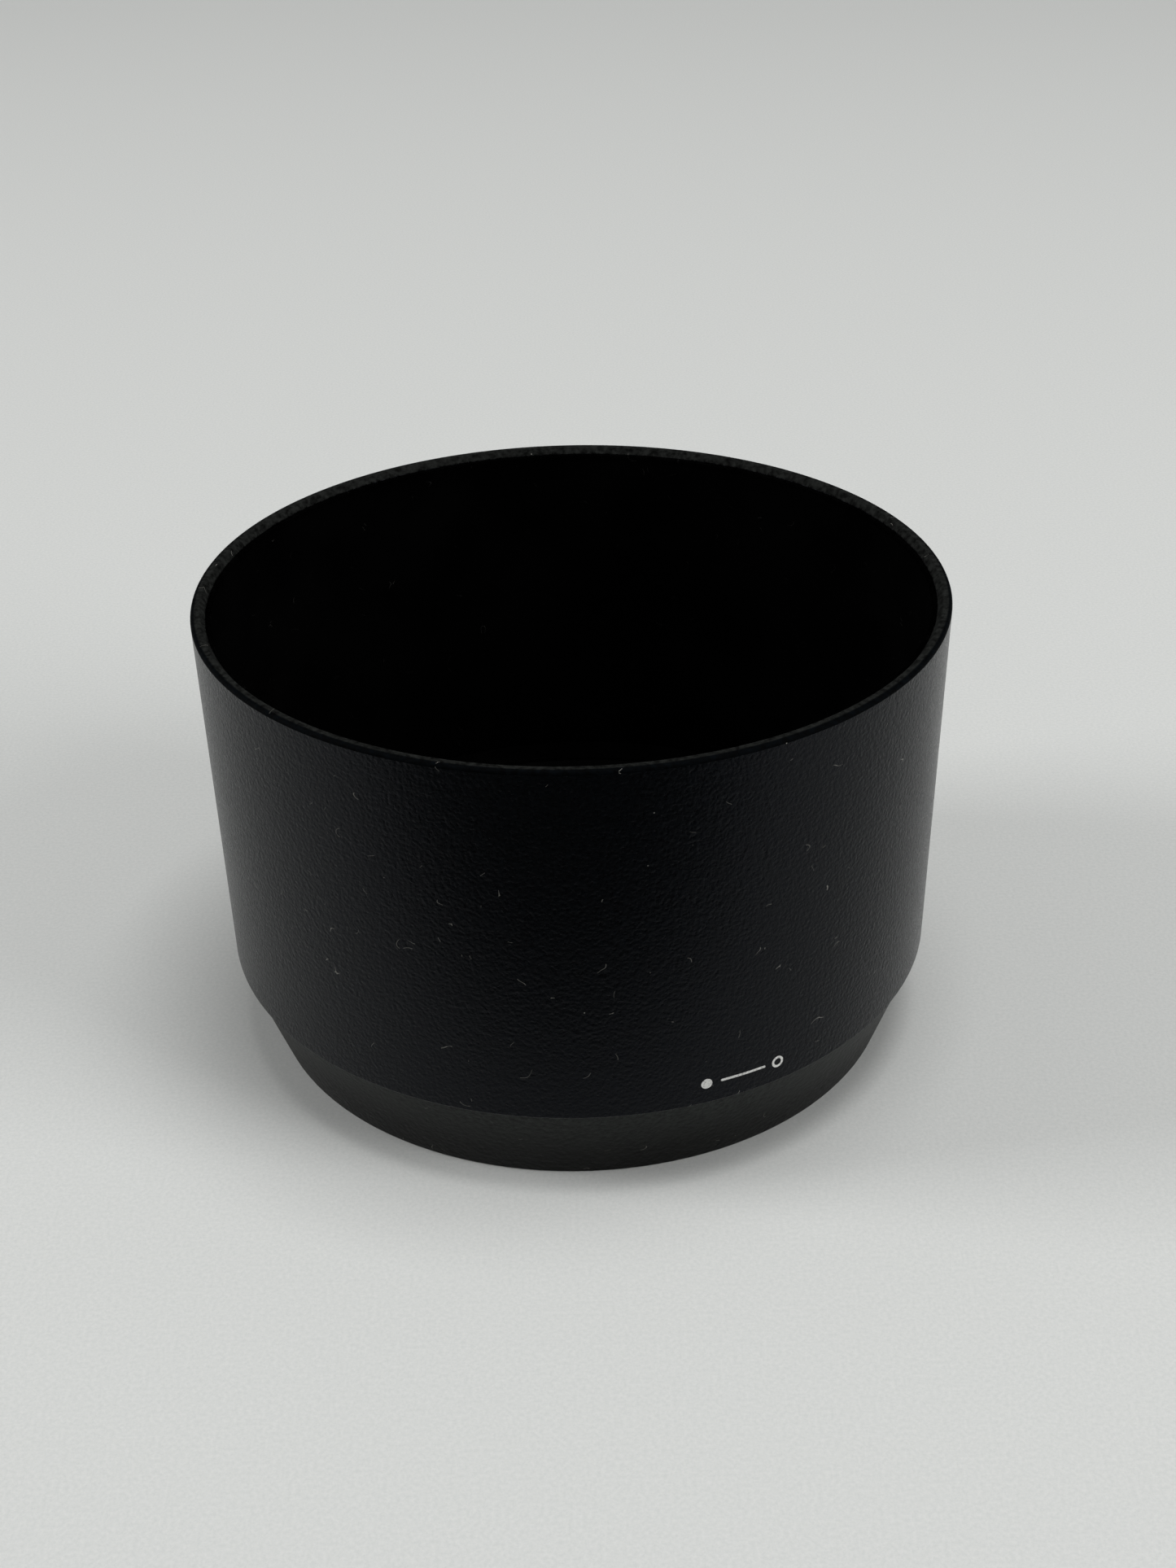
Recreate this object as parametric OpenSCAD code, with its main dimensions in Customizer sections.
// Bayonet lens hood: a textured conical shell on a tapered mount ring, which has three bayonet
// lugs and three sprung click tongues in its collar, a ledge ring and a flocked lining.
// The hood's axis is Z. Z = 0 is the rear face, which meets the lens; the mouth is at the top.
// Lug 1 points along +Y. Angles are counted from +X towards +Y.

/* [Lens] */
// Bore that slides over the lens
bore_d = 78.6; // [60:0.1:100]

/* [Shell] */
// Height from the rear face to the mouth
hood_h = 60.8; // [40:0.2:90]
// How much the shell widens from its lower edge to the mouth, on the radius
shell_flare = 1.05; // [0.6:0.05:3]
// Thickness of the shell's wall
wall = 1.8; // [1.6:0.1:2.6]
// Radius of the round outer edge of the mouth
rim_round = 0.55; // [0.3:0.05:0.8]
// Width of the rounded inner edge of the mouth
rim_ease_w = 0.6; // [0.3:0.05:0.8]
// Depth of the rounded inner edge of the mouth
rim_ease_h = 0.86; // [0.4:0.02:1.6]
// Chamfer round the shell's lower edge
foot_chamfer = 0.2; // [0.1:0.05:0.3]

/* [Mount ring] */
// Width of the rear face, from the bore to the band
rear_w = 3; // [2.8:0.1:4]
// How much the band widens from the rear face to the shell, on the radius
band_flare = 4.15; // [3.8:0.05:5]
// Height of the smooth tapered band
band_h = 12.2; // [11.6:0.1:14]
// How far the shell's lower edge stands proud of the band
step_w = 0.5; // [0.3:0.05:0.7]
// Thickness of the band's wall, square to its face
skin = 1.6; // [1.4:0.1:1.8]
// Length of the plain bore, with the chamfer at its mouth
entry_h = 4.4; // [3:0.1:4.6]
// Chamfer at the mouth of the bore
entry_chamfer = 0.6; // [0.3:0.1:1]
// How much the collar is wider than the bore beyond the plain stretch, on the radius
relief = 0.45; // [0.4:0.05:0.5]
// Thickness of the collar at the plain bore
collar_wall = 1.8; // [1.7:0.05:1.9]
// Depth of the ledge ring's seat below the top of the band
seat_drop = 1; // [0.8:0.1:1.4]
// Least width of the channel between the collar and the band
channel_w = 0.8; // [0.6:0.05:1]
// Round of the rear face's outer edge
rear_round = 0.4; // [0.2:0.05:0.6]
// Thickness of the ribs in the channel
rib_t = 1; // [0.8:0.1:1.4]
// Angle from rib to rib, in degrees
rib_pitch = 12; // [8:1:20]

/* [Joint of shell and ring] */
// Height of the lap joint
lap_h = 4; // [3:0.2:6]
// Thickness of the shell's skirt in the lap joint
lap_skirt = 0.85; // [0.7:0.05:0.95]
// Height of the locating keys
key_h = 1.2; // [0.8:0.1:2]
// Width of the locating keys, in degrees
key_arc = 8; // [4:1:14]
// How far the keys stand in from the spigot's face
key_step = 0.15; // [0.1:0.05:0.2]

/* [Bayonet lugs] */
// How far a lug stands in from the bore
lug_reach = 1.4; // [1:0.1:1.8]
// Height of the lug's lower face
lug_z = 5.6; // [5:0.1:6]
// Thickness of a lug along the axis
lug_h = 2.2; // [1.6:0.1:2.6]
// Width of a lug, in degrees
lug_arc = 22; // [16:1:24]
// Chamfer on the lug's inner edges
lug_chamfer = 0.3; // [0.1:0.05:0.5]
// Width of the stop at the lug's trailing end, in degrees
stop_arc = 2.2; // [1.6:0.1:3]
// How far the stop stands above and below its lug
stop_h = 0.9; // [0.4:0.1:1]
// Length of the ramps at the lug's leading end, in degrees
lead_arc = 6; // [3:1:9]
// Slope of those ramps, in degrees
lead_slope = 7; // [4:1:10]

/* [Click tongues] */
// Height of the collar left between the plain bore and a tongue's window
window_sill = 1; // [0.6:0.1:1.2]
// Thickness of a tongue
tongue_t = 1.1; // [0.9:0.05:1.2]
// Angle from the lug's middle to the tongue's free end
tongue_tip_a = 16; // [15:0.5:18]
// Angle from the lug's middle to the tongue's root
tongue_root_a = 42; // [38:0.5:48]
// Slit round a tongue
slit = 0.4; // [0.3:0.05:0.5]
// How far the bead stands in from the bore
bead_reach = 0.55; // [0.4:0.05:0.7]
// Radius of the bead
bead_r = 0.9; // [0.8:0.05:1]
// Length of the bead along the axis
bead_h = 3; // [2:0.1:3.8]
// Angle from the tongue's free end to the bead
bead_a = 2.4; // [2:0.1:4]
// Radius of the round root that the tongue bends about
root_r = 0.5; // [0.4:0.05:0.5]
// Gap between the round root and its seat
root_gap = 0.05; // [0.03:0.01:0.07]
// Gap between the tongue's end and the collar
end_gap = 0.1; // [0.08:0.01:0.2]
// Width of the block that holds the root, in degrees
block_arc = 3.2; // [2.4:0.1:5]

/* [Ledge ring] */
// Thickness of the ledge ring
ledge_t = 1.2; // [0.8:0.1:2]
// How much wider than the bore the ledge ring's hole is, on the radius
ledge_set_back = 0.55; // [0.5:0.05:0.8]
// Height of the lip that centres the ledge ring
lip_h = 1; // [0.6:0.1:1.4]
// Thickness of that lip
lip_t = 0.9; // [0.6:0.1:1.2]

/* [Flocking] */
// Thickness of the flocked pile
pile = 0.5; // [0.3:0.05:0.8]

/* [Index marks] */
// Diameter of the dot
dot_d = 1.7; // [1.2:0.1:2.4]
// Width of the line
line_w = 0.8; // [0.5:0.1:1.2]
// Length of the line
line_l = 3.6; // [2:0.1:5]
// Depth of the marks
mark_depth = 0.25; // [0.15:0.05:0.4]
// Height of the middle of the marks
mark_z = 5; // [3.5:0.1:8]
// Angle from the dot to the line
mark_turn = 40; // [20:1:70]

/* [Fits] */
// Gap that the adhesive fills between bonded pieces
bond_gap = 0.05; // [0.02:0.01:0.1]

/* [Hidden] */
$fn = 180;

lug_count = 3;
lug_pitch = 360 / lug_count;
first_lug_a = 90;
arc_steps = 6;
root_depth = 0.2; // how far an added feature is sunk into the wall that carries it
past = 1; // how far a cut runs past the face it opens

bore_r = bore_d / 2;
rear_r = bore_r + rear_w;
band_top_r = rear_r + band_flare;
foot_r = band_top_r + step_w;
rim_r = foot_r + shell_flare;
band_slope = band_flare / band_h;
band_tilt = atan(band_slope);
shell_slope = shell_flare / (hood_h - band_h);

collar_h = band_h - seat_drop;
relief_r = bore_r + relief;
collar_out_r = bore_r + collar_wall;
lap_top = band_h + lap_h;
lap_r = foot_r - lap_skirt;
spigot_r = lap_r - bond_gap;
rib_top = collar_h - lip_h - slit;
floor_z = (collar_out_r + channel_w + skin / cos(band_tilt) - rear_r) / band_slope;
ledge_top = collar_h + ledge_t;
ledge_in_r = bore_r + ledge_set_back;
flock_top = hood_h - rim_ease_h;

tongue_out_r = collar_out_r;
tongue_in_r = tongue_out_r - tongue_t;
tongue_mid_r = tongue_out_r - tongue_t / 2;
tongue_z = entry_h + window_sill + slit;
tongue_top = collar_h - slit;
tongue_h = tongue_top - tongue_z;
bead_mid_r = bore_r - bead_reach + bead_r;
key_turn = lug_pitch / 2;

// Outer radius of the band, its inner radius, and the shell's outer and inner radii at a height.
function band_r(z) = rear_r + band_slope * z;
function skin_r(z) = band_r(z) - skin / cos(band_tilt);
function shell_r(z) = foot_r + shell_slope * (z - band_h);
function inner_r(z) = shell_r(z) - wall;

// Points along an arc of an ellipse, from one angle to another.
function arc(centre, size, from, to) = [
    for (i = [0 : arc_steps])
        let (a = from + (to - from) * i / arc_steps)
        [centre.x + size.x * cos(a), centre.y + size.y * sin(a)]
];

// Angle that an arc of a given length spans at a radius.
function arc_angle(length, radius) = length / radius * 180 / PI;

// Length of an arc of a given angle.
function arc_length(angle, radius) = angle * radius * PI / 180;

// True where a rib at this angle stays clear of the click tongues.
function rib_is_clear(a) =
    let (from_lug = (a - first_lug_a + 360) % lug_pitch)
    from_lug < tongue_tip_a - rib_pitch / 3 || from_lug > tongue_root_a + block_arc + rib_pitch / 3;

// A ring, or a sector of one, from its radii and heights. The sector starts at an angle.
module ring_sector(r_in, r_out, z_low, z_high, start, sweep) {
    rotate([0, 0, start])
        rotate_extrude(angle = sweep)
            translate([r_in, z_low])
                square([r_out - r_in, z_high - z_low]);
}

// Repeats a feature at every lug.
module at_each_lug() {
    for (i = [0 : lug_count - 1])
        rotate([0, 0, first_lug_a + i * lug_pitch])
            children();
}

// Puts a mark on the band, with +Z out of its face and +X towards the rear.
module on_band(angle) {
    rotate([0, 0, angle])
        translate([band_r(mark_z), 0, mark_z])
            rotate([0, 90 + band_tilt, 0])
                children();
}

// The conical shell, with its rounded mouth and the skirt that laps over the ring.
module hood_shell() {
    color("#17181a")
        difference() {
            rotate_extrude()
                polygon(concat(
                    [
                        [lap_r, band_h],
                        [foot_r - foot_chamfer, band_h],
                        [shell_r(band_h + foot_chamfer), band_h + foot_chamfer]
                    ],
                    arc([rim_r - rim_round, hood_h - rim_round], [rim_round, rim_round], 0, 90),
                    arc(
                        [inner_r(flock_top) + rim_ease_w, flock_top],
                        [rim_ease_w, rim_ease_h], 90, 180
                    ),
                    [[inner_r(lap_top), lap_top], [lap_r, lap_top]]
                ));
            key_slots();
        }
}

// Slots in the shell's shoulder for the locating keys.
module key_slots() {
    slot_arc = key_arc + 2 * arc_angle(bond_gap, lap_r);
    at_each_lug()
        ring_sector(
            inner_r(lap_top) - past, lap_r - key_step,
            lap_top - past, lap_top + key_h + bond_gap,
            key_turn - slot_arc / 2, slot_arc
        );
}

// The tapered ring that mounts on the lens.
module mount_ring() {
    color("#1c1d1d")
        difference() {
            union() {
                ring_section();
                channel_ribs();
                locating_keys();
                at_each_lug() {
                    bayonet_lug();
                    root_block();
                }
            }
            at_each_lug() tongue_window();
            dot_recess(0);
            line_recess(0);
        }
}

// The ring's cross-section: the tapered band, the lap spigot, the channel and the collar.
module ring_section() {
    rotate_extrude()
        polygon(concat(
            [[bore_r + entry_chamfer, 0]],
            arc([rear_r - rear_round, rear_round], [rear_round, rear_round], 270, 360 - band_tilt),
            [
                [band_top_r, band_h],
                [spigot_r, band_h],
                [spigot_r, lap_top],
                [inner_r(lap_top), lap_top],
                [inner_r(collar_h), collar_h],
                [skin_r(collar_h), collar_h],
                [skin_r(floor_z), floor_z],
                [collar_out_r, floor_z],
                [collar_out_r, collar_h],
                [relief_r, collar_h],
                [relief_r, entry_h],
                [bore_r, entry_h],
                [bore_r, entry_chamfer]
            ]
        ));
}

// The space of the channel, reaching a little into the walls on both sides.
module channel_space() {
    rotate_extrude()
        polygon([
            [collar_out_r - root_depth, floor_z - root_depth],
            [skin_r(floor_z) + root_depth, floor_z - root_depth],
            [skin_r(rib_top) + root_depth, rib_top],
            [collar_out_r - root_depth, rib_top]
        ]);
}

// Radial ribs that stiffen the channel, left out behind the tongues.
module channel_ribs() {
    intersection() {
        channel_space();
        for (a = [0 : rib_pitch : 359])
            if (rib_is_clear(a))
                rotate([0, 0, a])
                    translate([collar_out_r - past, -rib_t / 2, 0])
                        cube([foot_r - collar_out_r + past, rib_t, collar_h]);
    }
}

// The block that the root of a tongue is seated in.
module root_block() {
    intersection() {
        channel_space();
        ring_sector(collar_out_r - past, foot_r, 0, collar_h, tongue_root_a, block_arc);
    }
}

// Keys on top of the spigot, which turn the shell to its place on the ring.
module locating_keys() {
    at_each_lug()
        rotate([0, 0, key_turn - key_arc / 2])
            rotate_extrude(angle = key_arc)
                polygon([
                    [inner_r(lap_top), lap_top - root_depth],
                    [spigot_r - key_step, lap_top - root_depth],
                    [spigot_r - key_step, lap_top + key_h],
                    [inner_r(lap_top + key_h), lap_top + key_h]
                ]);
}

// A lug that turns into the lens's groove, with a stop at its trailing end.
module bayonet_lug() {
    tip_r = bore_r - lug_reach;
    intersection() {
        rotate_extrude()
            polygon([
                [relief_r + root_depth, lug_z],
                [tip_r + lug_chamfer, lug_z],
                [tip_r, lug_z + lug_chamfer],
                [tip_r, lug_z + lug_h - lug_chamfer],
                [tip_r + lug_chamfer, lug_z + lug_h],
                [relief_r + root_depth, lug_z + lug_h]
            ]);
        lug_outline(tip_r);
    }
    ring_sector(
        tip_r + lug_chamfer, relief_r + root_depth, lug_z - stop_h, lug_z + lug_h + stop_h,
        -(lug_arc + stop_arc) / 2, stop_arc
    );
}

// The outline of a lug seen from the axis: square at the stop, ramped at its leading end.
module lug_outline(tip_r) {
    half_w = arc_length(lug_arc / 2, bore_r);
    lead_l = arc_length(lead_arc, bore_r);
    half_h = lug_h / 2 + past;
    lead_drop = lead_l * tan(lead_slope);
    translate([tip_r - past, 0, lug_z + lug_h / 2])
        rotate([90, 0, 90])
            linear_extrude(relief_r - tip_r + 2 * past)
                polygon([
                    [-half_w, -half_h],
                    [half_w - lead_l - past / tan(lead_slope), -half_h],
                    [half_w, lead_drop - lug_h / 2],
                    [half_w, lug_h / 2 - lead_drop],
                    [half_w - lead_l - past / tan(lead_slope), half_h],
                    [-half_w, half_h]
                ]);
}

// The window that a tongue lies in, with the round seat of its root.
module tongue_window() {
    slit_arc = arc_angle(slit, tongue_mid_r);
    ring_sector(
        bore_r - past, tongue_out_r + root_depth, tongue_z - slit, collar_h + past,
        tongue_tip_a - slit_arc, tongue_root_a - tongue_tip_a + slit_arc
    );
    rotate([0, 0, tongue_root_a])
        translate([tongue_mid_r, 0, tongue_z - slit])
            cylinder(r = root_r + root_gap, h = tongue_h + 2 * slit + past);
}

// A sprung tongue of the collar, with the bead that clicks into the lens's notch.
module click_tongue(index) {
    end_arc = arc_angle(end_gap, tongue_mid_r);
    color("#232425")
        rotate([0, 0, first_lug_a + (index - 1) * lug_pitch]) {
            ring_sector(
                tongue_in_r, tongue_out_r, tongue_z, tongue_top,
                tongue_tip_a, tongue_root_a - end_arc - tongue_tip_a
            );
            rotate([0, 0, tongue_root_a])
                translate([tongue_mid_r, 0, tongue_z])
                    cylinder(r = root_r, h = tongue_h);
            rotate([0, 0, tongue_tip_a + bead_a])
                translate([bead_mid_r, 0, tongue_z + (tongue_h - bead_h) / 2])
                    cylinder(r = bead_r, h = bead_h);
        }
}

// The flat ring that covers the channel and makes the ledge at the bottom of the hood.
module ledge_ring() {
    lip_r = skin_r(collar_h - lip_h) - bond_gap;
    color("#202122")
        rotate_extrude()
            polygon([
                [ledge_in_r, collar_h],
                [lip_r - lip_t, collar_h],
                [lip_r - lip_t, collar_h - lip_h],
                [lip_r, collar_h - lip_h],
                [lip_r, collar_h],
                [inner_r(collar_h) - bond_gap, collar_h],
                [inner_r(ledge_top) - bond_gap, ledge_top],
                [ledge_in_r, ledge_top]
            ]);
}

// Flocked pile on the wall of the hood.
module wall_flocking() {
    color("#0b0b0c")
        rotate_extrude()
            polygon([
                [inner_r(ledge_top), ledge_top],
                [inner_r(flock_top), flock_top],
                [inner_r(flock_top) - pile, flock_top],
                [inner_r(ledge_top) - pile, ledge_top]
            ]);
}

// Flocked pile on the ledge ring.
module ledge_flocking() {
    color("#0d0d0e")
        ring_sector(
            ledge_in_r, inner_r(ledge_top) - pile - bond_gap,
            ledge_top, ledge_top + pile, 0, 360
        );
}

// The cuts for the marks, smaller by a gap where they shape the inlay.
module dot_recess(gap) {
    on_band(first_lug_a)
        translate([0, 0, -mark_depth])
            cylinder(d = dot_d - 2 * gap, h = mark_depth + past);
}

module line_recess(gap) {
    on_band(first_lug_a + mark_turn)
        translate([-line_l / 2 + gap, -line_w / 2 + gap, -mark_depth])
            cube([line_l - 2 * gap, line_w - 2 * gap, mark_depth + past]);
}

// A thin ring of the band's own face, which trims the marks flush with it.
module band_face() {
    rotate_extrude()
        polygon([
            [band_r(0) - skin, 0],
            [band_r(0), 0],
            [band_top_r, band_h],
            [band_top_r - skin, band_h]
        ]);
}

// The painted dot that is set against the lens's dot to put the hood on.
module index_dot() {
    color("#dedcd2")
        intersection() {
            band_face();
            dot_recess(bond_gap / 2);
        }
}

// The painted line that meets the lens's dot when the hood has turned home.
module index_line() {
    color("#dedcd2")
        intersection() {
            band_face();
            line_recess(bond_gap / 2);
        }
}

hood_shell();
mount_ring();
ledge_ring();
click_tongue(1);  // click_tongue_1
click_tongue(2);  // click_tongue_2
click_tongue(3);  // click_tongue_3
wall_flocking();
ledge_flocking();
index_dot();
index_line();
